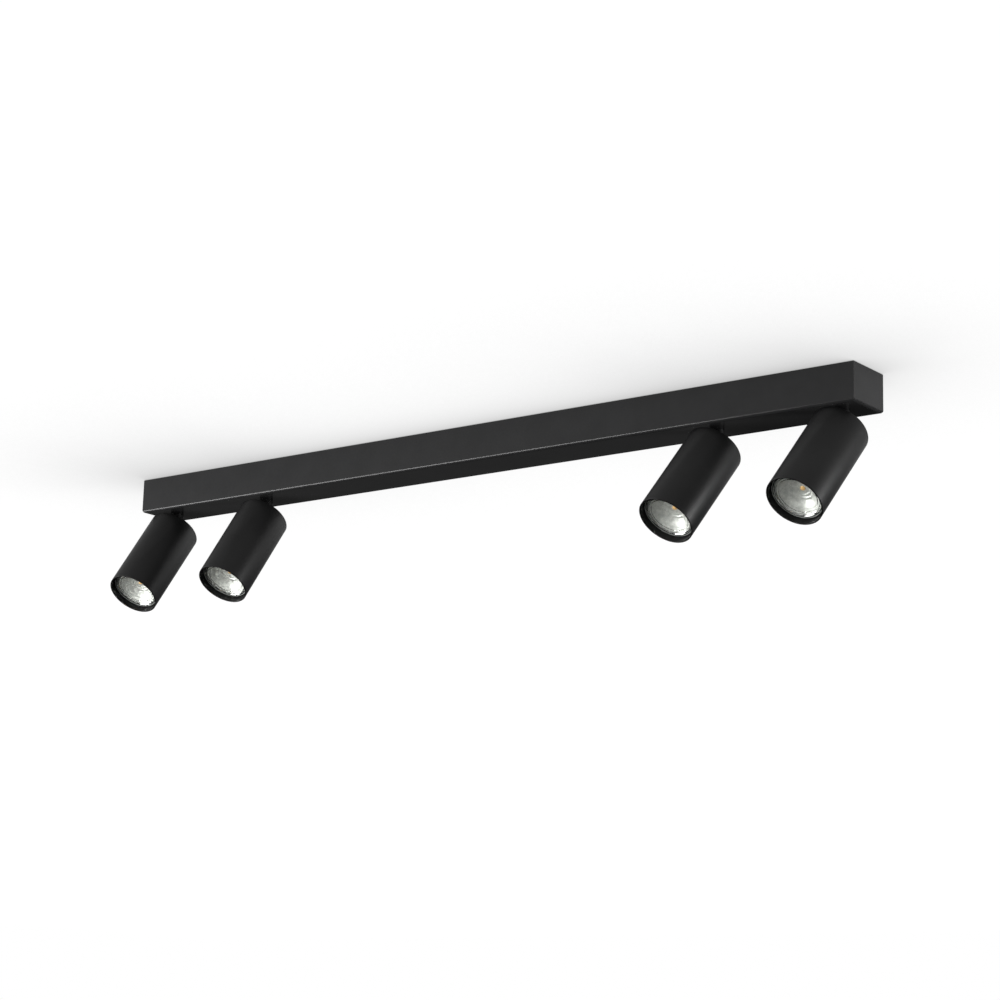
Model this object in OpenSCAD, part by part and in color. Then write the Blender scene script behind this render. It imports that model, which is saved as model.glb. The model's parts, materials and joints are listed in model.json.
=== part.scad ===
// Ceiling spot bar: a folded steel bar that carries four tube spots on tilting swivels.
// Millimetres. Z = 0 is the ceiling, +Z is up, X runs along the bar and -Y is its front.

/* [Bar] */
// Length of the bar
bar_length = 895; // [800:5:1200]
// Depth of the bar from front to back
bar_width = 55; // [52:1:70]
// Height of the bar below the ceiling
bar_height = 37; // [35:1:45]
// Thickness of the folded steel
bar_wall = 1.2; // [1:0.1:1.5]
// Outside radius of the folds
fold_radius = 3; // [1.8:0.1:4]
// Distance from each end of the bar to the nearest stem
end_inset = 27; // [27:1:40]
// Distance between the two stems of a pair
head_pitch = 134; // [120:1:160]

/* [Spots] */
// Outside diameter of a spot tube
tube_diameter = 55; // [54.5:0.5:60]
// Length of a spot tube
tube_length = 100; // [96:1:130]
// Wall thickness of a spot tube
tube_wall = 1.5; // [1.2:0.1:1.8]
// Depth of the lamp's face inside the mouth of the tube
lamp_recess = 6; // [5:0.5:8]
// Turn of each spot about its stem, from straight ahead
head_turn = [1, -2, -13.7, -10.5]; // [-170:0.1:170]
// Tilt of each spot from straight down
head_tilt = [35.4, 34, 37.9, 39.3]; // [-40:0.1:40]

/* [Swivels] */
// Diameter of a stem below the bar
stem_diameter = 14; // [13:0.5:15]
// Height of the tilt pivot below the bar
pivot_drop = 14.5; // [14.5:0.5:20]
// Distance from the tilt pivot to the rear cap
pivot_gap = 5; // [5:0.1:6]
// Radius of the knuckle about the tilt pivot
knuckle_radius = 4; // [3.8:0.1:4.2]

/* [Ceiling bracket] */
// Length of the ceiling bracket
bracket_length = 420; // [360:10:460]
// Distance between the two slots for the ceiling screws
slot_spacing = 200; // [180:10:240]
// Length of a slot from end to end
slot_length = 20; // [12:1:30]
// Width of a slot
slot_width = 5.5; // [4.5:0.5:6.5]
// Diameter of the hole through the cable grommet
cable_bore = 10; // [8:0.5:11]

/* [Hidden] */
HEADS = [1, 2, 3, 4];
BAR_PARTS = ["bar_housing", "ceiling_bracket", "bracket_screws", "cable_grommet",
    "terminal_block", "terminal_screws", "plate_screws", "internal_leads"];
HEAD_PARTS = ["swivel_stem", "lock_nut", "stop_washer", "hinge_screw", "spot_bracket",
    "spot_screws", "rear_cap", "spot_tube", "lamp_holder", "lamp_leads", "lamp_base",
    "lamp_reflector", "lamp_glass"];

$fn = 96;

// Fits: a loose planar gap, a running fit on a round shaft and a through cut's overshoot
gap = 0.1;
fit = 0.06;
over = 1;

// Bar
inner_length = bar_length - 2 * bar_wall;
inner_half = bar_width / 2 - bar_wall;
floor_z = bar_wall - bar_height;
outer_x = bar_length / 2 - end_inset;
inner_x = outer_x - head_pitch;
head_x = [-outer_x, -inner_x, inner_x, outer_x];

// Swivel, measured up from the underside of the bar
spigot_radius = 5;
spigot_top = 7.5;
lead_bore = 3.5;
washer_z = bar_wall + gap;
washer_thickness = 1.2;
washer_radius = 8;
tab_width = 1.2;
tab_reach = 11.5;
lug_inner = 9.2;
lug_outer = 11.4;
lug_height = 2.6;
nut_z = washer_z + washer_thickness;
nut_height = 3;
nut_flats = 14;
slot_gap = 2.4;
tongue = 2;
slot_roof = knuckle_radius + 1.5;
hinge_radius = 2;
hinge_head = [3, 2];
window = [6, 7];

// Ceiling bracket and what hangs from it
plate = 1.5;
tab_x = bracket_length / 2 - 30;
tab_size = [30, 14];
screw_z = -8;
m4 = 2;
m4_head = [4, 2.4];
m4_clear = 2.2;
grommet_neck = 8;
grommet_flange = [11, 2.5];
block_x = 45;
block_size = [28, 20, 15];
block_y = -2;
pole_pitch = 9;
pole_z = -9;
clamp_y = [-8, 4];
flange_x = 25;
earth_x = 78;

// Leads: a sleeved lead to each spot, with thin cores at its ends
sleeve = 2;
core = 0.9;
bend = 8;
lead_z = floor_z + sleeve + 0.2;
lead_end_z = -bar_height - 4;
lane_y = [inner_half - 3.3, inner_half - 8.3, inner_half - 8.3, inner_half - 3.3];
fan_x = 17;
pin = [1.3, 7];
crimp = [2.4, 6.5];
crimp_gap = 0.5;
crimp_y = 1.5;

// Spot, measured from its tilt pivot along -Z
cap = 1.5;
back_z = -pivot_gap;
mouth_z = back_z - tube_length;
tube_bore = tube_diameter / 2 - tube_wall;
rim_chamfer = 0.4;
m3 = 1.5;
m3_head = [2.75, 1.8];
m3_clear = 1.65;
cap_screw_x = 13;
holder_screw_x = 8;
lead_hole = [14, 3];

// Lamp: a 50 mm reflector lamp with two studs, 10 mm apart
lamp_radius = 25;
lamp_face_z = mouth_z + lamp_recess;
rim_height = 4;
cup_depth = 23;
cup_floor = 6;
base_radius = 12;
base_z = lamp_face_z + 27;
holder_z = lamp_face_z + 44;
holder_size = [13.5, 16];
stud_x = 5;
glass = [23.3, 2.1];
glass_inset = 0.4;
strap = [17, 12, 2];
holder_back_z = holder_z + holder_size[1];
cup_steps = 12;

black = "#2b2b2d";
satin_black = "#252526";
zinc = "#b9bcc0";
steel = "#9a9da1";

// Frame of a swivel: Z = 0 is the underside of the bar and -Y is where the spot points.
module at_swivel(i) {
    translate([head_x[i - 1], 0, -bar_height])
        rotate([0, 0, head_turn[i - 1]])
            children();
}

// Frame of a spot: the origin is the tilt pivot and the tube points along -Z.
module at_spot(i) {
    at_swivel(i)
        translate([0, 0, -pivot_drop])
            rotate([-head_tilt[i - 1], 0, 0])
                children();
}

module ring(outer, inner, height) {
    difference() {
        cylinder(r = outer, h = height);
        translate([0, 0, -over])
            cylinder(r = inner, h = height + 2 * over);
    }
}

// Screw whose head sits on Z = 0, with its shank along -Z and a cross recess.
module pan_screw(radius, length, head) {
    recess = [head[0] * 1.1, 0.7, head[1]];
    translate([0, 0, -length])
        cylinder(r = radius, h = length);
    difference() {
        union() {
            cylinder(r = head[0], h = head[1] * 0.5);
            translate([0, 0, head[1] * 0.5])
                cylinder(r1 = head[0], r2 = head[0] * 0.7, h = head[1] * 0.5);
        }
        for (turn = [0, 90])
            rotate([0, 0, turn])
                translate([-recess[0] / 2, -recess[1] / 2, head[1] * 0.45])
                    cube(recess);
    }
}

// Straight run of a round lead between two points.
module run(from, to, radius) {
    reach = to - from;
    translate(from)
        rotate([0, acos(reach[2] / norm(reach)), atan2(reach[1], reach[0])])
            cylinder(r = radius, h = norm(reach), $fn = 24);
}

// ---- Bar ----

// Section with round lower corners and its top on Y = 0.
module channel_section(width, height, radius) {
    translate([-width / 2, radius - height])
        square([width, height - radius]);
    translate([radius - width / 2, -height])
        square([width - 2 * radius, height]);
    for (side = [-1, 1])
        translate([side * (width / 2 - radius), radius - height])
            circle(r = radius);
}

// Box with its top on Z = 0 and its four lower edges round.
module tray(length, width, height, radius) {
    intersection() {
        rotate([90, 0, 90])
            linear_extrude(height = length, center = true)
                channel_section(width, height, radius);
        rotate([90, 0, 0])
            linear_extrude(height = width, center = true)
                channel_section(length, height, radius);
    }
}

module bar_housing() {
    color(black) {
        difference() {
            tray(bar_length, bar_width, bar_height, fold_radius);
            translate([0, 0, over])
                tray(inner_length, 2 * inner_half, over - floor_z, fold_radius - bar_wall);
            for (x = head_x)
                translate([x, 0, -bar_height - over])
                    cylinder(r = spigot_radius + fit, h = bar_wall + 2 * over);
            for (side = [-1, 1])
                translate([side * tab_x, inner_half - over, screw_z])
                    rotate([-90, 0, 0])
                        cylinder(r = m4_clear, h = bar_wall + 2 * over);
        }
        for (x = head_x)
            translate([x - tab_width / 2, -lug_outer, floor_z])
                cube([tab_width, lug_outer - lug_inner, lug_height]);
    }
}

module slot(length, width, depth) {
    for (side = [-1, 1])
        translate([side * (length - width) / 2, 0, 0])
            cylinder(d = width, h = depth);
    translate([(width - length) / 2, -width / 2, 0])
        cube([length - width, width, depth]);
}

module ceiling_bracket() {
    half = inner_half - 2 * gap;
    color(zinc) difference() {
        union() {
            translate([-bracket_length / 2, -half, -plate])
                cube([bracket_length, 2 * half, plate]);
            for (x = [-tab_x, tab_x])
                for (y = [-half, half - plate])
                    translate([x - tab_size[0] / 2, y, -tab_size[1]])
                        cube([tab_size[0], plate, tab_size[1]]);
        }
        for (side = [-1, 1])
            translate([side * slot_spacing / 2, 0, -plate - over])
                slot(slot_length, slot_width, plate + 2 * over);
        translate([0, 0, -plate - over])
            cylinder(r = grommet_neck, h = plate + 2 * over);
        for (x = [flange_x, earth_x])
            translate([x, block_y, -plate - over])
                cylinder(r = m4 + fit, h = plate + 2 * over);
        for (x = [-tab_x, tab_x])
            translate([x, half - plate - over, screw_z])
                rotate([-90, 0, 0])
                    cylinder(r = m4 + fit, h = plate + 2 * over);
    }
}

module bracket_screws() {
    color(satin_black)
        for (x = [-tab_x, tab_x])
            translate([x, bar_width / 2, screw_z])
                rotate([-90, 0, 0])
                    pan_screw(m4, 7, m4_head);
}

module cable_grommet() {
    color("#1a1a1a") {
        translate([0, 0, -plate])
            ring(grommet_neck - fit, cable_bore / 2, plate);
        translate([0, 0, -plate - grommet_flange[1]])
            ring(grommet_flange[0], cable_bore / 2, grommet_flange[1]);
    }
}

// Places a child at each of the three poles of the terminal block.
module at_poles() {
    for (pole = [-1:1])
        translate([block_x + pole * pole_pitch, 0, 0])
            children();
}

module terminal_block() {
    low = [block_x - block_size[0] / 2, block_y - block_size[1] / 2, -plate - block_size[2]];
    foot = [low[0] - flange_x + 5, 11, 3];
    color("ivory") difference() {
        union() {
            translate(low)
                cube(block_size);
            translate([flange_x - 5, block_y - foot[1] / 2, -plate - foot[2]])
                cube(foot);
        }
        at_poles() {
            translate([0, low[1] - over, pole_z])
                rotate([-90, 0, 0])
                    cylinder(r = 1.6, h = block_size[1] + 2 * over);
            for (y = clamp_y)
                translate([0, y, low[2] - over])
                    cylinder(r = 1.8, h = pole_z - low[2] + over);
        }
        for (side = [-0.5, 0.5])
            translate([block_x + side * pole_pitch - 0.5, low[1] - over, low[2] - over])
                cube([1, block_size[1] + 2 * over, 3 + over]);
        translate([flange_x, block_y, -plate - foot[2] - over])
            cylinder(r = m4_clear, h = foot[2] + 2 * over);
    }
}

module terminal_screws() {
    clamp = [1.7, 4.6];
    color("#c9a54a")
        at_poles()
            for (y = clamp_y)
                translate([0, y, pole_z - core - 0.4 - clamp[1]])
                    difference() {
                        cylinder(r = clamp[0], h = clamp[1]);
                        translate([-clamp[0] - over, -0.3, -over])
                            cube([2 * (clamp[0] + over), 0.6, 0.8 + over]);
                    }
}

// One screw holds the terminal block and the other is the earth terminal.
module plate_screws() {
    color(zinc) {
        translate([flange_x, block_y, -plate - 3])
            rotate([180, 0, 0])
                pan_screw(m4, 4.4, m4_head);
        translate([earth_x, block_y, -plate - 0.8])
            rotate([180, 0, 0])
                pan_screw(m4, 2.2, m4_head);
    }
}

// Sleeved lead out of a stem, over its nut, down to the floor and along to the terminal block.
module sleeved_lead(i) {
    x = head_x[i - 1];
    y = lane_y[i - 1];
    side = x > 0 ? 1 : -1;
    start = [x - side * bend, y, lead_z];
    end = [block_x + side * fan_x, y, lead_z];
    run([x, 0, lead_end_z], [x, 0, lead_z + bend], sleeve);
    translate([x, y / 2, lead_z + bend])
        rotate([90, 0, 90])
            rotate_extrude(angle = 180)
                translate([y / 2, 0])
                    circle(r = sleeve, $fn = 24);
    translate([start[0], y, lead_z + bend])
        rotate([90, 0, 0])
            rotate([0, 0, side > 0 ? -90 : 180])
                rotate_extrude(angle = 90)
                    translate([bend, 0])
                        circle(r = sleeve, $fn = 24);
    run(start, end, sleeve);
    for (pole = [-1, 0]) {
        level = pole == (side > 0 ? -1 : 0) ? -1 : 1;
        run([end[0], y, lead_z + level], [block_x + pole * pole_pitch + side, crimp_y + y / 2, pole_z], core);
    }
}

// Crimp that gathers the cores of one pole, with the pin that enters the terminal block.
module pole_crimp() {
    back = block_y + block_size[1] / 2;
    translate([0, back - pin[1], pole_z])
        rotate([-90, 0, 0])
            cylinder(r = pin[0], h = pin[1] + 2 * crimp_gap);
    translate([0, back + crimp_gap, pole_z])
        rotate([-90, 0, 0])
            cylinder(r = crimp[0], h = crimp[1]);
}

// Earth core from the last pole to the ring lug under its screw.
module earth_lead() {
    lug = [5, 0.8];
    barrel = [1.3, 5];
    barrel_z = -plate - barrel[0] - 0.2;
    barrel_y = block_y + m4_head[0] + 0.4;
    translate([earth_x, block_y, -plate - lug[1]])
        ring(lug[0], m4 + fit, lug[1]);
    translate([earth_x, barrel_y, barrel_z])
        rotate([-90, 0, 0])
            cylinder(r = barrel[0], h = barrel[1]);
    crimp_middle = block_y + (block_size[1] + crimp[1]) / 2 + crimp_gap;
    run([block_x + pole_pitch, crimp_middle, pole_z], [earth_x, barrel_y + barrel[1] - 1, barrel_z], core);
}

module internal_leads() {
    color("#1f1f20") {
        for (i = HEADS)
            sleeved_lead(i);
        at_poles()
            pole_crimp();
        earth_lead();
    }
}

// ---- Swivels ----

module swivel_stem(i) {
    shoulder_z = 1 - pivot_drop;
    color(satin_black) at_swivel(i) difference() {
        union() {
            translate([0, 0, shoulder_z])
                cylinder(d = stem_diameter, h = -gap - shoulder_z);
            translate([0, 0, -over])
                cylinder(r = spigot_radius, h = spigot_top + over);
            intersection() {
                translate([0, 0, -pivot_drop - knuckle_radius])
                    cylinder(d = stem_diameter, h = knuckle_radius + 1);
                union() {
                    translate([0, 0, -pivot_drop])
                        rotate([0, 90, 0])
                            cylinder(r = knuckle_radius, h = stem_diameter, center = true);
                    translate([-stem_diameter / 2, -knuckle_radius, -pivot_drop])
                        cube([stem_diameter, 2 * knuckle_radius, 1]);
                }
            }
        }
        translate([-slot_gap / 2, -stem_diameter, -pivot_drop - knuckle_radius - over])
            cube([slot_gap, 2 * stem_diameter, knuckle_radius + over + slot_roof]);
        translate([0, 0, slot_roof - pivot_drop - over])
            cylinder(r = lead_bore, h = pivot_drop + spigot_top + over);
        translate([-window[0] / 2, 0, slot_roof - pivot_drop])
            cube([window[0], stem_diameter, window[1]]);
        translate([0, 0, -pivot_drop])
            rotate([0, 90, 0]) {
                cylinder(r = hinge_radius + fit, h = 2 * stem_diameter, center = true);
                translate([0, 0, stem_diameter / 2 - hinge_head[1] - 0.2])
                    cylinder(r = hinge_head[0] + fit, h = stem_diameter);
            }
    }
}

module lock_nut(i) {
    color(zinc) at_swivel(i) translate([0, 0, nut_z]) difference() {
        cylinder(r = nut_flats / 2 / cos(30), h = nut_height, $fn = 6);
        translate([0, 0, -over])
            cylinder(r = spigot_radius + fit, h = nut_height + 2 * over);
    }
}

// Washer with a tab that meets the lug on the bar's floor at each end of the swivel's turn.
module stop_washer(i) {
    color(steel) at_swivel(i) translate([0, 0, washer_z]) difference() {
        union() {
            cylinder(r = washer_radius, h = washer_thickness);
            translate([-tab_width / 2, 0, 0])
                cube([tab_width, tab_reach, washer_thickness]);
        }
        translate([0, 0, -over])
            cylinder(r = spigot_radius + fit, h = washer_thickness + 2 * over);
    }
}

module hinge_screw(i) {
    seat = stem_diameter / 2 - hinge_head[1] - 0.2;
    color(zinc) at_swivel(i) translate([0, 0, -pivot_drop]) rotate([0, 90, 0]) difference() {
        union() {
            translate([0, 0, -stem_diameter / 2 + 0.4])
                cylinder(r = hinge_radius, h = stem_diameter / 2 - 0.4 + seat);
            translate([0, 0, seat])
                cylinder(r = hinge_head[0], h = hinge_head[1]);
        }
        translate([0, 0, seat + hinge_head[1] - 1.2])
            cylinder(r = 1.5, h = 1.2 + over, $fn = 6);
    }
}

// ---- Spots ----

// Folded strap: a tongue to the stem, a flange under the rear cap, a leg and a foot for the holder.
module spot_bracket(i) {
    top = back_z - cap;
    color(zinc) at_spot(i) difference() {
        union() {
            rotate([0, 90, 0])
                cylinder(r = knuckle_radius, h = tongue, center = true);
            translate([-tongue / 2, -knuckle_radius, top - strap[2]])
                cube([tongue, 2 * knuckle_radius, strap[2] - top]);
            translate([-strap[0], -strap[1] / 2, top - strap[2]])
                cube([2 * strap[0], strap[1], strap[2]]);
            translate([-strap[0], -strap[1] / 2, holder_back_z])
                cube([strap[2], strap[1], top - holder_back_z]);
            translate([-strap[0], -strap[1] / 2, holder_back_z])
                cube([strap[0] + 12, strap[1], strap[2]]);
        }
        rotate([0, 90, 0])
            cylinder(r = hinge_radius + fit, h = stem_diameter, center = true);
        for (side = [-1, 1]) {
            translate([side * cap_screw_x, 0, top - strap[2] - over])
                cylinder(r = m3 + fit, h = strap[2] + 2 * over);
            translate([side * holder_screw_x, 0, holder_back_z - over])
                cylinder(r = m3_clear, h = strap[2] + 2 * over);
        }
    }
}

// Four alike: two hold the rear cap to the strap and two hold the lamp holder to its foot.
module spot_screws(i) {
    color(zinc) at_spot(i)
        for (side = [-1, 1]) {
            translate([side * cap_screw_x, 0, back_z])
                pan_screw(m3, 6, m3_head);
            translate([side * holder_screw_x, 0, holder_back_z + strap[2]])
                pan_screw(m3, 6, m3_head);
        }
}

module rear_cap(i) {
    color(black) at_spot(i) translate([0, 0, back_z - cap]) difference() {
        cylinder(r = tube_bore - fit, h = cap);
        translate([-slot_gap / 2, -knuckle_radius - 0.2, -over])
            cube([slot_gap, 2 * knuckle_radius + 0.4, cap + 2 * over]);
        for (side = [-1, 1])
            translate([side * cap_screw_x, 0, -over])
                cylinder(r = m3_clear, h = cap + 2 * over);
        translate([0, lead_hole[0], -over])
            cylinder(r = lead_hole[1], h = cap + 2 * over);
    }
}

module spot_tube(i) {
    outer = tube_diameter / 2;
    color(black) at_spot(i) rotate_extrude()
        polygon([[tube_bore, mouth_z], [outer - rim_chamfer, mouth_z], [outer, mouth_z + rim_chamfer],
            [outer, back_z - rim_chamfer], [outer - rim_chamfer, back_z], [tube_bore, back_z]]);
}

// ---- Lamps ----

module lamp_holder(i) {
    exit = [1.2, 5];
    color("white") at_spot(i) translate([0, 0, holder_z]) difference() {
        cylinder(r = holder_size[0], h = holder_size[1]);
        for (side = [-1, 1]) {
            translate([side * stud_x, 0, -over])
                cylinder(r = 2.7, h = 8 + over);
            translate([side * holder_screw_x, 0, holder_size[1] - 6])
                cylinder(r = m3 + fit, h = 6 + over);
            translate([side, side * holder_screw_x, holder_size[1] - exit[1]])
                cylinder(r = exit[0], h = exit[1] + over);
        }
    }
}

// Quarter of a ring in the plane X = 0, which leaves +Y upwards and ends on +Z.
module quarter_turn(swing) {
    rotate([90, 0, 90])
        rotate_extrude(angle = 90)
            translate([swing, 0])
                circle(r = core, $fn = 24);
}

// Core in the plane X = 0: up, across at level and up again.
module stepped_core(from, to, level) {
    swing = 2.5;
    run([0, from[0], from[1]], [0, from[0], level - swing], core);
    translate([0, from[0] + swing, level - swing])
        rotate([0, 0, 180])
            quarter_turn(swing);
    run([0, from[0] + swing, level], [0, to[0] - swing, level], core);
    translate([0, to[0] - swing, level + swing])
        rotate([0, 180, 0])
            quarter_turn(swing);
    run([0, to[0], level + swing], [0, to[0], to[1]], core);
}

// Two cores from the lamp holder, side by side out of the rear cap's lead hole.
module lamp_leads(i) {
    color("#1f1f20") at_spot(i)
        for (side = [-1, 1])
            translate([side, 0, 0])
                stepped_core([side * holder_screw_x, holder_back_z - 4], [lead_hole[0], back_z],
                    holder_back_z + 12 + 3 * side);
}

module lamp_base(i) {
    color("whitesmoke") at_spot(i) {
        translate([0, 0, base_z])
            cylinder(r = base_radius, h = holder_z - base_z);
        for (side = [-1, 1])
            translate([side * stud_x, 0, holder_z]) {
                cylinder(r = 1.5, h = 4.5);
                translate([0, 0, 4.5])
                    cylinder(r = 2.4, h = 2.5);
            }
    }
}

// Point of a quarter ellipse that narrows from the cup's rim towards its floor.
function cup_point(k, rim, low, start, depth) =
    [low + (rim - low) * cos(90 * k / cup_steps), start + depth * sin(90 * k / cup_steps)];

module lamp_reflector(i) {
    seat_z = lamp_face_z + glass_inset + glass[1];
    wall_z = lamp_face_z + rim_height;
    inner = [for (k = [0:cup_steps]) cup_point(k, glass[0] - 0.8, cup_floor, seat_z, cup_depth - 2)];
    outer = [for (k = [0:cup_steps]) cup_point(cup_steps - k, lamp_radius, base_radius, wall_z, cup_depth)];
    color("silver") at_spot(i) rotate_extrude()
        polygon(concat([[lamp_radius, lamp_face_z], [glass[0] + fit, lamp_face_z], [glass[0] + fit, seat_z]],
            inner, [[0, inner[cup_steps][1]], [0, base_z]], outer));
}

module lamp_glass(i) {
    color([0.85, 0.9, 0.9, 0.4]) at_spot(i)
        translate([0, 0, lamp_face_z + glass_inset])
            cylinder(r = glass[0], h = glass[1]);
}

bar_housing();
ceiling_bracket();
bracket_screws();
cable_grommet();
terminal_block();
terminal_screws();
plate_screws();
internal_leads();
for (i = HEADS) {
    swivel_stem(i);
    lock_nut(i);
    stop_washer(i);
    hinge_screw(i);
    spot_bracket(i);
    spot_screws(i);
    rear_cap(i);
    spot_tube(i);
    lamp_holder(i);
    lamp_leads(i);
    lamp_base(i);
    lamp_reflector(i);
    lamp_glass(i);
}
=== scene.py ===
import json
import math

import bmesh
import bpy
from mathutils import Matrix, Vector

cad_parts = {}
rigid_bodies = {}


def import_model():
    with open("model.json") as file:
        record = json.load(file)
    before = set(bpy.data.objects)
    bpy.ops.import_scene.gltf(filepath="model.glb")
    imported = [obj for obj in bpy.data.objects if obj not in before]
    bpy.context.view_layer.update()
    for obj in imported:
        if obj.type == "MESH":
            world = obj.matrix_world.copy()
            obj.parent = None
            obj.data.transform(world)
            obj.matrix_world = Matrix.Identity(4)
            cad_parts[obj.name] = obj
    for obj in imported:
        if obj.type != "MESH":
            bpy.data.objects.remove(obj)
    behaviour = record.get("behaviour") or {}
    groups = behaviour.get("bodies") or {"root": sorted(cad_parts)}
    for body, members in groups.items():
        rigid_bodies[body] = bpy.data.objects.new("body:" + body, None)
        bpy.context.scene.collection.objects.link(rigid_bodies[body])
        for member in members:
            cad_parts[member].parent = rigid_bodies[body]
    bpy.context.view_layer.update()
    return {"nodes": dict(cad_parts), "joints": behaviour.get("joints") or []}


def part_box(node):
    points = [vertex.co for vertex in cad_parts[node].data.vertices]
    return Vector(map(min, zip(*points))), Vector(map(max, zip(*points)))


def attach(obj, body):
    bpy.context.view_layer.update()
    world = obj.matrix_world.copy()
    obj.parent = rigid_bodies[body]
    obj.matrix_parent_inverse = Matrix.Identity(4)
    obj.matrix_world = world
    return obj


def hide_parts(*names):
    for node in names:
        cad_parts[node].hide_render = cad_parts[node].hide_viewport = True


for leftover in list(bpy.data.objects):
    bpy.data.objects.remove(leftover)
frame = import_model()

MM = 0.001
HEADS = (1, 2, 3, 4)
FAR_AWAY = 1e9
NODES = frame["nodes"]
JOINTS = {joint["name"]: joint for joint in frame["joints"]}


# ---- Places, all read from the frame ----

class Spot:
    """One spot: its pivot, its axes and the CAD sizes measured along them."""

    def __init__(self, number):
        self.number = number
        self.body = f"spot_{number}"
        self.pivot = Vector(JOINTS[f"spot_tilt_{number}"]["pos_m"])
        low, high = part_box(f"spot_tube_{number}")
        self.out = ((low + high) / 2 - self.pivot).normalized()
        self.right = -Vector(JOINTS[f"spot_tilt_{number}"]["axis"])
        self.back = self.right.cross(self.out)
        near, far, self.tube_radius = self.span(f"spot_tube_{number}")
        self.mouth = far
        self.tube_length = far - near
        glass_near, glass_far, self.glass_radius = self.span(f"lamp_glass_{number}")
        self.glass_depth = self.mouth - glass_far
        self.glass_thickness = glass_far - glass_near
        cup_near, cup_far, self.lamp_radius = self.span(f"lamp_reflector_{number}")
        self.face_depth = self.mouth - cup_far
        self.cup_length = cup_far - cup_near

    def span(self, node):
        """Nearest and furthest distance from the pivot along the spot's axis, and the largest radius."""
        near, far, radius = FAR_AWAY, -FAR_AWAY, 0.0
        for vertex in NODES[node].data.vertices:
            offset = vertex.co - self.pivot
            along = offset.dot(self.out)
            near = min(near, along)
            far = max(far, along)
            radius = max(radius, (offset - self.out * along).length)
        return near, far, radius

    def matrix(self):
        """From the mouth's frame to the row frame. Its origin is the mouth's centre, +Z is up the tube."""
        rotation = Matrix((self.right, self.back, -self.out)).transposed()
        return Matrix.Translation(self.pivot + self.out * self.mouth) @ rotation.to_4x4()


SPOTS = [Spot(number) for number in HEADS]


# ---- Materials ----

# Noise seldom goes past these values, so a ramp between them uses its whole range.
NOISE_LOW = 0.35
NOISE_HIGH = 0.65


class Nodes:
    """A material's node tree with one Principled shader, and short calls that add what feeds it."""

    def __init__(self, name, colour, roughness, metallic=0.0, **settings):
        self.material = bpy.data.materials.new(name)
        self.material.use_nodes = True
        self.tree = self.material.node_tree
        self.tree.nodes.clear()
        self.output = self.add("ShaderNodeOutputMaterial")
        self.shader = self.add("ShaderNodeBsdfPrincipled")
        self.link(self.shader.outputs["BSDF"], self.output.inputs["Surface"])
        self.shader.inputs["Base Color"].default_value = (*colour, 1.0)
        self.shader.inputs["Roughness"].default_value = roughness
        self.shader.inputs["Metallic"].default_value = metallic
        for key, value in settings.items():
            self.shader.inputs[key.replace("_", " ")].default_value = value
        self.place = self.add("ShaderNodeTexCoord").outputs["Object"]

    def add(self, kind, **properties):
        node = self.tree.nodes.new(kind)
        for key, value in properties.items():
            setattr(node, key, value)
        return node

    def link(self, source, target):
        self.tree.links.new(source, target)

    def noise(self, size, detail=2.0, finer=None):
        """Noise whose grains are about size metres across, and that many times finer along X, Y and Z."""
        node = self.add("ShaderNodeTexNoise")
        node.inputs["Scale"].default_value = 1.0 / size
        node.inputs["Detail"].default_value = detail
        source = self.place
        if finer:
            mapping = self.add("ShaderNodeMapping")
            mapping.inputs["Scale"].default_value = finer
            self.link(source, mapping.inputs["Vector"])
            source = mapping.outputs["Vector"]
        self.link(source, node.inputs["Vector"])
        return node.outputs["Fac"]

    def ramp(self, source, stops):
        """Colours or greys along source. A stop is (position, colour or grey)."""
        node = self.add("ShaderNodeValToRGB")
        elements = node.color_ramp.elements
        while len(elements) < len(stops):
            elements.new(0.5)
        for element, (position, value) in zip(elements, stops):
            element.position = position
            element.color = (*value, 1.0) if isinstance(value, tuple) else (value, value, value, 1.0)
        self.link(source, node.inputs["Fac"])
        return node.outputs["Color"]

    def vary(self, key, source, low, high):
        """Lets that input of the shader go from low to high with the noise."""
        self.link(self.ramp(source, [(NOISE_LOW, low), (NOISE_HIGH, high)]), self.shader.inputs[key])

    def colour(self, source, dark, light):
        self.vary("Base Color", source, dark, light)

    def rough(self, source, smooth, coarse):
        self.vary("Roughness", source, smooth, coarse)

    def bump(self, source, height):
        """Adds bumps of that height on top of the earlier ones."""
        node = self.add("ShaderNodeBump")
        node.inputs["Strength"].default_value = 1.0
        node.inputs["Distance"].default_value = height
        self.link(source, node.inputs["Height"])
        earlier = self.shader.inputs["Normal"].links
        if earlier:
            self.link(earlier[0].from_socket, node.inputs["Normal"])
        self.link(node.outputs["Normal"], self.shader.inputs["Normal"])


def powder_coat(name, dark, light, roughness, shine=0.42):
    """Black powder coat: fine orange peel, with faint cloudiness in colour and gloss."""
    made = Nodes(name, dark, roughness, Specular_IOR_Level=shine)
    cloud = made.noise(30 * MM, detail=4)
    made.colour(cloud, dark, light)
    made.rough(made.noise(6 * MM, detail=6), roughness - 0.015, roughness + 0.02)
    made.bump(made.noise(0.9 * MM, detail=3), 0.002 * MM)
    made.bump(made.noise(0.25 * MM, detail=1), 0.001 * MM)
    return made.material


def plated_steel(name, dark, light, roughness):
    """Metal with a cloudy colour and a fine grain in gloss and height."""
    made = Nodes(name, light, roughness, metallic=1.0)
    made.colour(made.noise(8 * MM, detail=5), dark, light)
    grain = made.noise(0.6 * MM, detail=4)
    made.rough(grain, roughness - 0.06, roughness + 0.1)
    made.bump(grain, 0.01 * MM)
    return made.material


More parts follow.
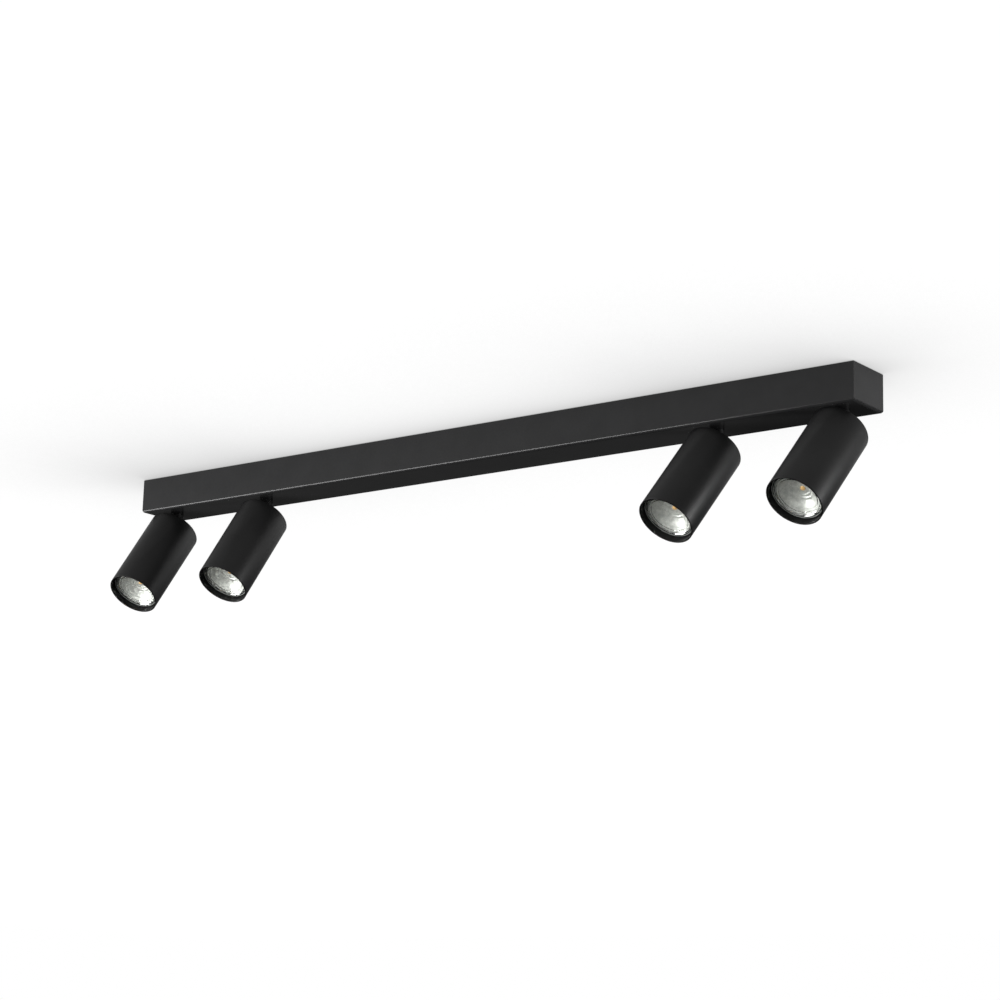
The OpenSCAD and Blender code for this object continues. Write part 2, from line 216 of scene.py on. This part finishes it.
def moulded(name, dark, light, roughness, depth=0.01 * MM):
    """Plastic, rubber or ceramic with a fine grain of that depth."""
    made = Nodes(name, light, roughness)
    made.colour(made.noise(12 * MM, detail=4), dark, light)
    made.rough(made.noise(3 * MM, detail=4), roughness - 0.04, roughness + 0.06)
    made.bump(made.noise(0.5 * MM, detail=2), depth)
    return made.material


def braided_sleeve():
    """Fine black braid, as a close and uneven grain with a soft sheen."""
    made = Nodes("braided_sleeve", (0.02, 0.02, 0.021), 0.75, Sheen_Weight=0.3)
    made.colour(made.noise(2 * MM, detail=5), (0.012, 0.012, 0.013), (0.035, 0.035, 0.036))
    weave = made.noise(0.35 * MM, detail=1, finer=(1.0, 1.6, 1.6))
    made.bump(weave, 0.08 * MM)
    return made.material


def clear_glass():
    """Clear pressed glass with faint flow marks, which lets the stage's lights through."""
    made = Nodes("clear_glass", (0.965, 0.98, 0.965), 0.02, IOR=1.47, Transmission_Weight=1.0)
    made.rough(made.noise(4 * MM, detail=3), 0.01, 0.04)
    made.bump(made.noise(9 * MM, detail=1), 0.01 * MM)
    path = made.add("ShaderNodeLightPath")
    clear = made.add("ShaderNodeBsdfTransparent")
    clear.inputs["Color"].default_value = (0.93, 0.93, 0.92, 1.0)
    mix = made.add("ShaderNodeMixShader")
    made.link(path.outputs["Is Shadow Ray"], mix.inputs["Fac"])
    made.link(made.shader.outputs["BSDF"], mix.inputs[1])
    made.link(clear.outputs["BSDF"], mix.inputs[2])
    made.link(mix.outputs["Shader"], made.output.inputs["Surface"])
    return made.material


def mirror_coat():
    """Vacuum-coated aluminium inside the lamp: grey, with a soft haze and shallow waves."""
    made = Nodes("mirror_coat", (0.55, 0.55, 0.53), 0.4, metallic=0.34)
    made.colour(made.noise(3 * MM, detail=4), (0.44, 0.445, 0.43), (0.62, 0.625, 0.6))
    made.rough(made.noise(5 * MM, detail=2), 0.33, 0.44)
    made.bump(made.noise(4 * MM, detail=2), 0.13 * MM)
    return made.material


def painted_highlight_bead_material():
    """Bead around the lamp's glass in light grey: a painted highlight, which draws a thin light line."""
    made = Nodes("bead_painted_highlight", (0.34, 0.36, 0.34), 0.2)
    made.colour(made.noise(6 * MM, detail=3), (0.24, 0.255, 0.24), (0.42, 0.44, 0.42))
    made.rough(made.noise(3 * MM, detail=2), 0.1, 0.2)
    made.bump(made.noise(4 * MM, detail=1), 0.02 * MM)
    return made.material


def painted_shade_lip_material():
    """Rim of the lamp's glass, painted near black: painted shade for the dark seen through it."""
    made = Nodes("lip_painted_shade", (0.012, 0.013, 0.013), 0.08)
    made.colour(made.noise(4 * MM, detail=3), (0.008, 0.009, 0.009), (0.02, 0.022, 0.022))
    made.rough(made.noise(2 * MM, detail=3), 0.06, 0.12)
    made.bump(made.noise(3 * MM, detail=1), 0.005 * MM)
    return made.material


def phosphor():
    """Yellow coat of the chip."""
    made = Nodes("phosphor", (0.85, 0.52, 0.2), 0.55)
    made.colour(made.noise(0.8 * MM, detail=4), (0.78, 0.42, 0.12), (0.9, 0.6, 0.28))
    made.bump(made.noise(0.5 * MM, detail=3), 0.02 * MM)
    return made.material


BAR_PAINT = powder_coat("bar_powder_coat", (0.0228, 0.0228, 0.0232), (0.0258, 0.0258, 0.0263),
                        0.2, shine=0.2)
SPOT_PAINT = powder_coat("spot_powder_coat", (0.005, 0.005, 0.0051), (0.007, 0.007, 0.0071),
                         0.42, shine=0.24)
INNER_PAINT = powder_coat("spot_inside_coat", (0.003, 0.003, 0.003), (0.005, 0.005, 0.005), 0.5)
STEM_PAINT = powder_coat("stem_lacquer", (0.004, 0.004, 0.0041), (0.006, 0.006, 0.0061), 0.5, shine=0.1)
ZINC = plated_steel("zinc_plate", (0.5, 0.51, 0.52), (0.63, 0.64, 0.66), 0.34)
BLACK_SCREW = plated_steel("black_oxide", (0.03, 0.03, 0.032), (0.06, 0.06, 0.063), 0.38)
BRASS = plated_steel("turned_brass", (0.55, 0.38, 0.14), (0.7, 0.5, 0.2), 0.3)
RUBBER = moulded("black_rubber", (0.012, 0.012, 0.012), (0.022, 0.022, 0.022), 0.7)
IVORY = moulded("ivory_plastic", (0.66, 0.62, 0.52), (0.75, 0.71, 0.61), 0.42)
SLEEVE = braided_sleeve()
CERAMIC = moulded("white_ceramic", (0.74, 0.73, 0.69), (0.83, 0.82, 0.78), 0.62, depth=0.03 * MM)
LAMP_SHELL = moulded("white_lamp_shell", (0.76, 0.76, 0.74), (0.84, 0.84, 0.82), 0.3)
GLASS = clear_glass()
MIRROR = mirror_coat()
PHOSPHOR = phosphor()
# Painted shade for the lamp's rim band, then a painted highlight for its bead.
PAINTED_SHADE_LIP = painted_shade_lip_material()
PAINTED_HIGHLIGHT_BEAD = painted_highlight_bead_material()


# ---- Mesh helpers ----

CRISP_ANGLE = math.radians(35)
ON_AXIS = 1e-7
ARC_STEPS = 4


def sharpen(mesh):
    """Smooth faces, with the edges that turn more than CRISP_ANGLE kept crisp."""
    form = bmesh.new()
    form.from_mesh(mesh)
    for face in form.faces:
        face.smooth = True
    for edge in form.edges:
        edge.smooth = len(edge.link_faces) == 2 and edge.calc_face_angle(0.0) < CRISP_ANGLE
    form.to_mesh(mesh)
    form.free()


def finish_piece(name, form, materials, matrix, body, slot, *stands_for):
    """Turns a bmesh in its own frame into a piece of that body."""
    mesh = bpy.data.meshes.new(name)
    bmesh.ops.recalc_face_normals(form, faces=form.faces)
    form.transform(matrix)
    form.to_mesh(mesh)
    form.free()
    sharpen(mesh)
    for material in materials:
        mesh.materials.append(material)
    piece = bpy.data.objects.new(name, mesh)
    bpy.context.scene.collection.objects.link(piece)
    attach(piece, body)
    if stands_for:
        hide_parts(*stands_for)
    return piece


def lathe(outline, steps, wobble=None):
    """Closed surface of revolution about Z from a closed outline of (radius, height) points.

    wobble(index, radius, height, angle) may return another radius and height for a point of the outline.
    Points on the axis become one vertex.
    """
    form = bmesh.new()
    rings = []
    for index, (radius, height) in enumerate(outline):
        if radius < ON_AXIS:
            rings.append([form.verts.new((0.0, 0.0, height))] * steps)
            continue
        ring = []
        for step in range(steps):
            angle = 2 * math.pi * step / steps
            r, z = wobble(index, radius, height, angle) if wobble else (radius, height)
            ring.append(form.verts.new((r * math.cos(angle), r * math.sin(angle), z)))
        rings.append(ring)
    for ring, following in zip(rings, rings[1:] + rings[:1]):
        for step in range(steps):
            after = (step + 1) % steps
            corners = [ring[step], ring[after], following[after], following[step]]
            distinct = list(dict.fromkeys(corners))
            if len(distinct) >= 3:
                form.faces.new(distinct)
    return form


def rounded(outline, radius):
    """The outline with an arc of that radius in place of each corner."""
    result = []
    count = len(outline)
    for index, point in enumerate(outline):
        corner = Vector(point)
        before = (Vector(outline[index - 1]) - corner).normalized()
        after = (Vector(outline[(index + 1) % count]) - corner).normalized()
        turn = before.angle(after)
        reach = radius / math.tan(turn / 2)
        centre = corner + (before + after).normalized() * (radius / math.sin(turn / 2))
        first = corner + before * reach - centre
        last = corner + after * reach - centre
        for step in range(ARC_STEPS + 1):
            way = first.lerp(last, step / ARC_STEPS).normalized() * radius
            result.append(tuple(centre + way))
    return result


# ---- Bar, bracket and swivels: the CAD pieces, with their finishes ----

FINISHES = {
    "bar_housing": BAR_PAINT,
    "ceiling_bracket": ZINC,
    "bracket_screws": BLACK_SCREW,
    "cable_grommet": RUBBER,
    "terminal_block": IVORY,
    "terminal_screws": BRASS,
    "plate_screws": ZINC,
    "internal_leads": SLEEVE,
    "swivel_stem": STEM_PAINT,
    "lock_nut": ZINC,
    "stop_washer": ZINC,
    "hinge_screw": BLACK_SCREW,
    "spot_bracket": ZINC,
    "spot_screws": BLACK_SCREW,
    "rear_cap": SPOT_PAINT,
    "lamp_holder": CERAMIC,
    "lamp_leads": SLEEVE,
    "lamp_base": LAMP_SHELL,
}


def finish_cad_nodes():
    """Gives each CAD node that stays its finish, by its name without the head's number."""
    for name, node in NODES.items():
        kind = name if name in FINISHES else name.rsplit("_", 1)[0]
        if kind not in FINISHES:
            continue
        node.data.materials.clear()
        node.data.materials.append(FINISHES[kind])


# ---- Spot tubes ----

TUBE_WALL = 1.5 * MM
TUBE_EDGE = 0.35 * MM
TUBE_STEPS = 144
INSIDE_MARGIN = 0.2 * MM


def make_tube(spot):
    """Turned tube with softly broken rims and a darker inside."""
    outer = spot.tube_radius
    inner = outer - TUBE_WALL
    top = spot.tube_length
    outline = [(inner, 0.0), (outer, 0.0), (outer, top), (inner, top)]
    form = lathe(rounded(outline, TUBE_EDGE), TUBE_STEPS)
    piece = finish_piece(f"tube_{spot.number}", form, [SPOT_PAINT, INNER_PAINT], spot.matrix(),
                         spot.body, "spot_paint", f"spot_tube_{spot.number}")
    for face in piece.data.polygons:
        offset = face.center - spot.pivot
        radial = offset - spot.out * offset.dot(spot.out)
        if radial.length < inner + INSIDE_MARGIN:
            face.material_index = 1


# ---- Lamps ----

# Cup: points of the bead around its lip, as (distance inside the rim, depth behind the face).
BEAD_SECTION = [
    (0.9 * MM, 0.35 * MM),
    (0.75 * MM, 0.1 * MM),
    (0.5 * MM, 0.0),
    (0.25 * MM, 0.1 * MM),
    (0.0, 0.45 * MM),
]
# Bead faces within this width and height take the painted highlight.
BEAD_HIGHLIGHT_WIDTH = 0.95 * MM
BEAD_HIGHLIGHT_HEIGHT = 0.34 * MM
LIP_LEVEL = 0.35 * MM
# Rim band faces less deep than this and outside this radius take the painted shade.
LIP_SHADE_DEPTH = 3.3 * MM
LIP_SHADE_RADIUS = 20.0 * MM
SEAT_GAP = 0.15 * MM
SEAT_DEPTH = 3.2 * MM
RIM_BAND = 4 * MM
NECK_BAND = 4 * MM
CUP_WALL = 1.2 * MM
CUP_STEP = 0.6 * MM
CUP_FLOOR = 5 * MM
CUP_FLOOR_RADIUS = 7 * MM
CUP_ARC = range(0, 91, 9)
CUP_STEPS = 120

# Bowl: depths are behind the lamp's face, and each ridge has a radius, a height and a half width.
BOWL_TOP = 2.7 * MM
BOWL_RIM = 22.6 * MM
BOWL_DEPTH = 10.0 * MM
BOWL_CURVE = 1.9
BOWL_WALL = 0.4 * MM
BOWL_FLOOR_RADIUS = 5.2 * MM
BOWL_POINTS = 64
BOWL_STEPS = 140
RIDGES = [
    (7.2 * MM, 0.35 * MM, 0.7 * MM),
    (10.2 * MM, 0.45 * MM, 0.9 * MM),
    (19.0 * MM, 0.25 * MM, 0.45 * MM),
    (20.4 * MM, 0.3 * MM, 0.4 * MM),
    (21.8 * MM, 0.3 * MM, 0.35 * MM),
]
FACETS = 14
FACET_ROWS = 3
FACET_HEIGHT = 0.16 * MM
# Share of that height at the axis. It grows by 1 towards the rim.
FACET_AT_AXIS = 0.35

# Chip: a dome on a straight foot, on a disc.
CHIP_RADIUS = 2.3 * MM
CHIP_HEIGHT = 1.6 * MM
CHIP_FOOT = 0.6 * MM
CHIP_DOME = 1.0 * MM
CHIP_GAP = 0.1 * MM
BOARD_RADIUS = 5.6 * MM
BOARD_THICKNESS = 1.0 * MM
CHIP_ARC = range(15, 91, 15)
CHIP_STEPS = 48

# Front glass: (radius, depth behind its front) of the points inside the rim, in millimetres.
GLASS_FACE = [
    (0.0, 0.35),
    (10.0, 0.4),
    (18.2, 0.6),
    (18.6, 0.25),
    (19.2, 0.25),
    (19.6, 0.7),
    (20.6, 0.7),
    (21.0, 0.2),
    (21.4, 0.15),
    (21.7, 0.8),
    (22.8, 0.8),
]
# Its rim: (distance inside the rim, depth behind its front), in millimetres.
GLASS_EDGE = [(0.35, 0.1), (0.1, 0.1), (0.0, 0.3)]
# The points of GLASS_FACE that the ribs are pressed into.
RIBBED_POINTS = (9, 10)
RIBS = 90
RIB_DEPTH = 0.35 * MM
STEPS_PER_RIB = 4


def local_centres(spot, piece):
    """Each face of the piece, with its distance from the spot's axis and its depth behind the mouth."""
    inverse = spot.matrix().inverted()
    for face in piece.data.polygons:
        local = inverse @ face.center
        yield face, math.hypot(local.x, local.y), local.z


def make_lamp_shell(spot):
    """Glass cup of the lamp: a beaded lip with a painted highlight, a rim band in painted shade, then a
    wall that narrows to the base.
    """
    face = spot.face_depth
    rim = spot.lamp_radius
    neck = spot.span(f"lamp_base_{spot.number}")[2]
    seat = spot.glass_radius + SEAT_GAP
    band = face + RIM_BAND
    floor = face + spot.cup_length
    rise = floor - NECK_BAND - band
    curve = []
    for degrees in CUP_ARC:
        angle = math.radians(degrees)
        curve.append((neck + (rim - neck) * math.cos(angle), band + rise * math.sin(angle)))
    outline = [(seat, face + LIP_LEVEL)]
    outline += [(rim - inset, face + depth) for inset, depth in BEAD_SECTION]
    outline += curve
    outline += [(neck, floor), (0.0, floor)]
    outline += [(0.0, floor - CUP_FLOOR), (CUP_FLOOR_RADIUS, floor - CUP_FLOOR)]
    outline += [(radius - CUP_WALL, height - CUP_STEP) for radius, height in reversed(curve)]
    outline += [(seat, face + SEAT_DEPTH)]
    form = lathe(outline, CUP_STEPS)
    piece = finish_piece(f"lamp_cup_{spot.number}", form, [LAMP_SHELL, PAINTED_SHADE_LIP, PAINTED_HIGHLIGHT_BEAD], spot.matrix(),
                         spot.body, "lamp_shell", f"lamp_reflector_{spot.number}")
    # Bead faces take the painted highlight, and rim band faces take the painted shade.
    for polygon, across, depth in local_centres(spot, piece):
        if depth < face + BEAD_HIGHLIGHT_HEIGHT and across > rim - BEAD_HIGHLIGHT_WIDTH:
            polygon.material_index = 2
        elif depth < face + LIP_SHADE_DEPTH and across > LIP_SHADE_RADIUS:
            polygon.material_index = 1


def make_lamp_bowl(spot):
    """Mirrored bowl behind the glass, pressed into soft facets and rings."""
    top = spot.face_depth + BOWL_TOP
    inner = []
    for point in range(BOWL_POINTS + 1):
        share = point / BOWL_POINTS
        radius = BOWL_FLOOR_RADIUS + (BOWL_RIM - BOWL_FLOOR_RADIUS) * (1 - share)
        ridge = sum(high * math.exp(-((radius - place) / half) ** 2) for place, high, half in RIDGES)
        inner.append((radius, top + BOWL_DEPTH * (1 - (1 - share) ** BOWL_CURVE) - ridge))

    def dimple(index, radius, height, angle):
        """Facets on the inner side only, shifted by half a facet from row to row."""
        if index > BOWL_POINTS:
            return radius, height
        row = index / BOWL_POINTS * FACET_ROWS
        phase = math.pi * (int(row) % 2) / FACETS
        bulge = math.sin(math.pi * row) ** 2 * math.cos((angle + phase) * FACETS / 2) ** 2
        return radius, height - FACET_HEIGHT * bulge * (FACET_AT_AXIS + radius / BOWL_RIM)

    shell = [(radius + BOWL_WALL, height + BOWL_WALL) for radius, height in reversed(inner)]
    form = lathe(inner + shell, BOWL_STEPS, dimple)
    finish_piece(f"lamp_bowl_{spot.number}", form, [MIRROR], spot.matrix(), spot.body, "lamp_mirror")


def make_led(spot):
    """Chip on its board at the bottom of the bowl: a low yellow dome on a silver disc."""
    level = spot.face_depth + BOWL_TOP + BOWL_DEPTH + CHIP_GAP
    outline = [(0.0, level - CHIP_HEIGHT)]
    for degrees in CHIP_ARC:
        angle = math.radians(degrees)
        outline.append((CHIP_RADIUS * math.sin(angle), level - CHIP_FOOT - CHIP_DOME * math.cos(angle)))
    outline += [(CHIP_RADIUS, level), (BOARD_RADIUS, level)]
    outline += [(BOARD_RADIUS, level + BOARD_THICKNESS), (0.0, level + BOARD_THICKNESS)]
    form = lathe(outline, CHIP_STEPS)
    piece = finish_piece(f"led_chip_{spot.number}", form, [PHOSPHOR, MIRROR], spot.matrix(),
                         spot.body, "brass")
    for polygon, across, depth in local_centres(spot, piece):
        if across > CHIP_RADIUS + CHIP_GAP or depth > level + BOARD_THICKNESS / 2:
            polygon.material_index = 1


def make_lens(spot):
    """Front glass: a slightly domed middle, two raised rings and a ribbed groove inside the rim."""
    front = spot.glass_depth
    back = front + spot.glass_thickness
    rim = spot.glass_radius
    outline = [(radius * MM, front + depth * MM) for radius, depth in GLASS_FACE]
    outline += [(rim - inset * MM, front + depth * MM) for inset, depth in GLASS_EDGE]
    outline += [(rim, back), (0.0, back)]

    def ribs(index, radius, height, angle):
        """Even waves around the groove."""
        if index in RIBBED_POINTS:
            return radius, height + RIB_DEPTH * (0.5 + 0.5 * math.cos(RIBS * angle))
        return radius, height

    form = lathe(outline, RIBS * STEPS_PER_RIB, ribs)
    finish_piece(f"lens_{spot.number}", form, [GLASS], spot.matrix(), spot.body, "lamp_glass",
                 f"lamp_glass_{spot.number}")


# ---- Stage, camera and light ----

# How bright the ceiling and the rest of the room are in the light and the reflections.
CEILING_REFLECTED = 0.52
ROOM_GLOW = 0.02

CEILING_SIZE = 16.0
CEILING_GAP = 0.6 * MM
FLOOR_SIZE = 300.0
FLOOR_LEVEL = -1.5
FACING_UP = 1
FACING_DOWN = -1

# Brightness of the ceiling by how little covers it: a painted shadow, darker in a soft halo around the
# bar.
PAINTED_SHADOW_REACH = 1.0
PAINTED_SHADOW_SAMPLES = 16
PAINTED_SHADOW_HALO = [(0.3, 0.45), (0.45, 0.63), (0.64, 0.75), (0.82, 0.84), (0.93, 0.92), (1.0, 1.02)]

# The camera's turn from the +Y axis, its tilt up and its roll, in degrees.
CAMERA_ANGLES = (-37.455, 13.031, 1.546)
CAMERA_PLACE = (1.4709, -1.8788, -0.6214)
SENSOR_WIDTH = 36.0
FOCAL_LENGTH = 87.47
CLIP_NEAR = 0.05
CLIP_FAR = 60.0

# Each light: its name, its place, the point that it faces, its width, its height and its watts.
LIGHTS = [
    ("side_right", (2.25, 0.8, -0.35), (0.2, -0.04, -0.09), 0.6, 0.5, 39.0),
    ("low_left", (-1.15, -1.22, -0.52), (-0.1, -0.03, -0.04), 1.2, 0.6, 30.0),
    ("back_left", (-1.9, 2.0, -0.78), (-0.1, 0.0, -0.04), 1.7, 0.9, 0.18),
    ("front_low", (0.7, -2.1, -0.8), (0.0, -0.05, -0.1), 2.6, 1.4, 14.0),
    ("top", (0.0, 0.0, 2.2), (0.0, 0.0, 0.0), 2.0, 2.0, 50.0),
    ("back_high", (-0.3, 2.4, 1.1), (0.0, 0.0, -0.05), 1.6, 1.0, 40.0),
]


def eye_level(made, reflected, seen):
    """A strength of seen for camera rays, and of reflected for all others."""
    path = made.add("ShaderNodeLightPath")
    level = made.add("ShaderNodeMapRange")
    level.inputs["To Min"].default_value = reflected
    level.inputs["To Max"].default_value = seen
    made.link(path.outputs["Is Camera Ray"], level.inputs["Value"])
    return level.outputs["Result"]


def make_plane(name, size, height, facing, made):
    """Level square of the stage, centred under the part."""
    form = bmesh.new()
    bmesh.ops.create_grid(form, x_segments=1, y_segments=1, size=size / 2)
    if facing == FACING_DOWN:
        bmesh.ops.reverse_faces(form, faces=form.faces)
    mesh = bpy.data.meshes.new(name)
    form.to_mesh(mesh)
    form.free()
    mesh.materials.append(made.material)
    plane = bpy.data.objects.new(name, mesh)
    plane.location.z = height
    bpy.context.scene.collection.objects.link(plane)
    return plane


def make_ceiling():
    """White glowing ceiling with a painted shadow around the bar, seen only from below, so that views from
    above show the part.
    """
    made = Nodes("ceiling_white", (0.0, 0.0, 0.0), 1.0)
    shade = made.add("ShaderNodeAmbientOcclusion", samples=PAINTED_SHADOW_SAMPLES)
    shade.inputs["Distance"].default_value = PAINTED_SHADOW_REACH
    glow = made.add("ShaderNodeEmission")
    # The glow darkens where the bar covers the ceiling: a painted shadow.
    made.link(made.ramp(shade.outputs["AO"], PAINTED_SHADOW_HALO), glow.inputs["Color"])
    made.link(eye_level(made, CEILING_REFLECTED, 1.0), glow.inputs["Strength"])
    side = made.add("ShaderNodeNewGeometry")
    clear = made.add("ShaderNodeBsdfTransparent")
    mix = made.add("ShaderNodeMixShader")
    made.link(side.outputs["Backfacing"], mix.inputs["Fac"])
    made.link(glow.outputs["Emission"], mix.inputs[1])
    made.link(clear.outputs["BSDF"], mix.inputs[2])
    made.link(mix.outputs["Shader"], made.output.inputs["Surface"])
    ceiling = make_plane("ceiling", CEILING_SIZE, CEILING_GAP, FACING_DOWN, made)
    ceiling.visible_shadow = False


def make_floor():
    """Pale floor for the eye that stays dim in the light and the reflections."""
    made = Nodes("floor_pale", (0.8, 0.8, 0.79), 0.9)
    glow = made.add("ShaderNodeEmission")
    tints = [(0.3, (0.83, 0.83, 0.82)), (0.7, (0.835, 0.835, 0.825))]
    made.link(made.ramp(made.noise(2.0, detail=2), tints), glow.inputs["Color"])
    made.link(eye_level(made, ROOM_GLOW, 1.0), glow.inputs["Strength"])
    made.link(glow.outputs["Emission"], made.output.inputs["Surface"])
    make_plane("floor", FLOOR_SIZE, FLOOR_LEVEL, FACING_UP, made)


def make_world():
    """Pale backdrop for the eye, with a dimmer room for the light and the reflections."""
    world = bpy.data.worlds.new("studio")
    bpy.context.scene.world = world
    world.use_nodes = True
    tree = world.node_tree
    tree.nodes.clear()
    output = tree.nodes.new("ShaderNodeOutputWorld")
    path = tree.nodes.new("ShaderNodeLightPath")
    mix = tree.nodes.new("ShaderNodeMixShader")
    tree.links.new(path.outputs["Is Camera Ray"], mix.inputs["Fac"])
    for place, strength in ((1, ROOM_GLOW), (2, 1.0)):
        background = tree.nodes.new("ShaderNodeBackground")
        background.inputs["Color"].default_value = (1.0, 1.0, 1.0, 1.0)
        background.inputs["Strength"].default_value = strength
        tree.links.new(background.outputs["Background"], mix.inputs[place])
    tree.links.new(mix.outputs["Shader"], output.inputs["Surface"])


def make_light(name, place, target, width, height, power):
    """Soft box that the camera doesn't see."""
    light = bpy.data.lights.new(name, "AREA")
    light.shape = "RECTANGLE"
    light.size = width
    light.size_y = height
    light.energy = power
    lamp = bpy.data.objects.new(name, light)
    bpy.context.scene.collection.objects.link(lamp)
    lamp.location = place
    lamp.rotation_mode = "QUATERNION"
    lamp.rotation_quaternion = (Vector(target) - Vector(place)).to_track_quat("-Z", "Y")
    lamp.visible_camera = False


def make_camera():
    """Below the ceiling, to the front and right, turned up along the bar."""
    azimuth, elevation, roll = (math.radians(degrees) for degrees in CAMERA_ANGLES)
    level = math.cos(elevation)
    ahead = Vector((level * math.sin(azimuth), level * math.cos(azimuth), math.sin(elevation)))
    right = ahead.cross(Vector((0, 0, 1))).normalized()
    up = right.cross(ahead)
    turned_right = math.cos(roll) * right + math.sin(roll) * up
    turned_up = math.cos(roll) * up - math.sin(roll) * right
    data = bpy.data.cameras.new("camera")
    data.sensor_width = SENSOR_WIDTH
    data.lens = FOCAL_LENGTH
    data.clip_start = CLIP_NEAR
    data.clip_end = CLIP_FAR
    camera = bpy.data.objects.new("camera", data)
    bpy.context.scene.collection.objects.link(camera)
    rotation = Matrix((turned_right, turned_up, -ahead)).transposed().to_4x4()
    camera.matrix_world = Matrix.Translation(CAMERA_PLACE) @ rotation
    bpy.context.scene.camera = camera


make_camera()
finish_cad_nodes()
for node in NODES.values():
    sharpen(node.data)
for spot in SPOTS:
    make_tube(spot)
    make_lamp_shell(spot)
    make_lamp_bowl(spot)
    make_led(spot)
    make_lens(spot)
make_ceiling()
make_floor()
make_world()
for light_settings in LIGHTS:
    make_light(*light_settings)
bpy.context.scene.view_settings.view_transform = "Standard"
